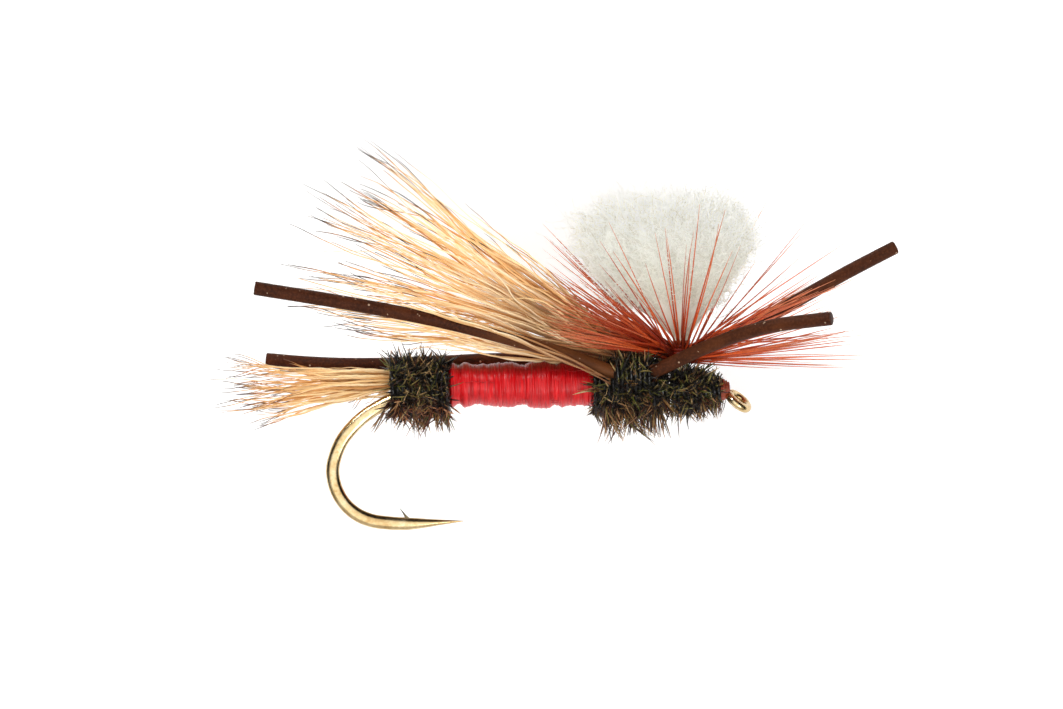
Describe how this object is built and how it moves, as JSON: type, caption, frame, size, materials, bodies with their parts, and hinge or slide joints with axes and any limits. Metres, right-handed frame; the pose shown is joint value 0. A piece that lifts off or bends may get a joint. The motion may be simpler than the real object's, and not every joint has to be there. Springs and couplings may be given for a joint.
{
  "type": "dry fly",
  "caption": "Parachute dry fly on a long-shank down-eye hook: hair tail and swept hair wing, herl butt and thorax, floss band, yarn post with wound feather hackle, rubber legs.",
  "frame": {"origin": "middle of the hook's forged bend where vise jaws hold it, in the hook's own plane; the near grip flat lies 0.22 mm from it", "axes": "+X along the shank towards the hook eye, +Z away from the hook point towards the wing, +Y the fly's left; the near flat faces -Y"},
  "size_m": [0.0314, 0.0152, 0.0174],
  "materials": {
    "gold_wire": "polished gold-coloured plating on forged wire",
    "dark_thread": "waxed tying thread",
    "rust_thread": "waxed tying thread",
    "deer_hair": "bleached hollow hair, satin",
    "herl": "iridescent bronze-green herl",
    "red_floss": "glossy wound floss",
    "white_yarn": "matt brushed-out yarn",
    "brown_hackle": "glossy feather barbs",
    "brown_rubber": "satin speckled rubber"
  },
  "bodies": {
    "root": {"hook": "gold_wire", "thread_base": "dark_thread", "tail_hair": "deer_hair", "tail_lashing": "dark_thread", "rear_herl": "herl", "floss_band": "red_floss", "wing_hair": "deer_hair", "wing_lashing": "dark_thread", "thorax_herl": "herl", "head_herl": "herl", "post_yarn": "white_yarn", "post_lashing": "rust_thread", "hackle_feather": "brown_hackle", "leg_lashing": "dark_thread", "head_thread": "rust_thread", "near_strand_held": "brown_rubber", "far_strand_held": "brown_rubber"},
    "near_rear_root": {"near_rear_leg_root": "brown_rubber"},
    "near_rear_tip": {"near_rear_leg_tip": "brown_rubber"},
    "far_rear_root": {"far_rear_leg_root": "brown_rubber"},
    "far_rear_tip": {"far_rear_leg_tip": "brown_rubber"},
    "near_front_root": {"near_front_leg_root": "brown_rubber"},
    "near_front_tip": {"near_front_leg_tip": "brown_rubber"},
    "far_front_root": {"far_front_leg_root": "brown_rubber"},
    "far_front_tip": {"far_front_leg_tip": "brown_rubber"}
  },
  "joints": [
    {"name": "near_rear_leg_bend", "type": "hinge", "parent": "root", "child": "near_rear_root", "pos_m": [0.012, -0.00122, 0.00587], "axis": [0, 1, 0], "range_deg": [-20, 12], "stiffness_Nm_per_rad": 0.000002},
    {"name": "near_rear_leg_curl", "type": "hinge", "parent": "near_rear_root", "child": "near_rear_tip", "pos_m": [0.00481, -0.00226, 0.00804], "axis": [0, 1, 0], "range_deg": [-20, 12], "stiffness_Nm_per_rad": 0.000002},
    {"name": "far_rear_leg_bend", "type": "hinge", "parent": "root", "child": "far_rear_root", "pos_m": [0.012, 0.00122, 0.00587], "axis": [0, 1, 0], "range_deg": [-15, 12], "stiffness_Nm_per_rad": 0.000002},
    {"name": "far_rear_leg_curl", "type": "hinge", "parent": "far_rear_root", "child": "far_rear_tip", "pos_m": [0.00488, 0.00212, 0.00631], "axis": [0, 1, 0], "range_deg": [-15, 12], "stiffness_Nm_per_rad": 0.000002},
    {"name": "near_front_leg_bend", "type": "hinge", "parent": "root", "child": "near_front_root", "pos_m": [0.01395, -0.00122, 0.00587], "axis": [0, -1, 0], "range_deg": [-20, 22], "stiffness_Nm_per_rad": 0.0000015},
    {"name": "near_front_leg_curl", "type": "hinge", "parent": "near_front_root", "child": "near_front_tip", "pos_m": [0.01762, -0.00271, 0.00748], "axis": [0, -1, 0], "range_deg": [-20, 22], "stiffness_Nm_per_rad": 0.0000015},
    {"name": "far_front_leg_bend", "type": "hinge", "parent": "root", "child": "far_front_root", "pos_m": [0.01395, 0.00122, 0.00587], "axis": [0, -1, 0], "range_deg": [-22, 18], "stiffness_Nm_per_rad": 0.0000015},
    {"name": "far_front_leg_curl", "type": "hinge", "parent": "far_front_root", "child": "far_front_tip", "pos_m": [0.01909, 0.00229, 0.00834], "axis": [0, -1, 0], "range_deg": [-22, 18], "stiffness_Nm_per_rad": 0.0000015}
  ],
  "couplings": [
    {"joint": "near_rear_leg_curl", "follows": "near_rear_leg_bend", "ratio": 1},
    {"joint": "far_rear_leg_curl", "follows": "far_rear_leg_bend", "ratio": 1},
    {"joint": "near_front_leg_curl", "follows": "near_front_leg_bend", "ratio": 1},
    {"joint": "far_front_leg_curl", "follows": "far_front_leg_bend", "ratio": 1}
  ]
}
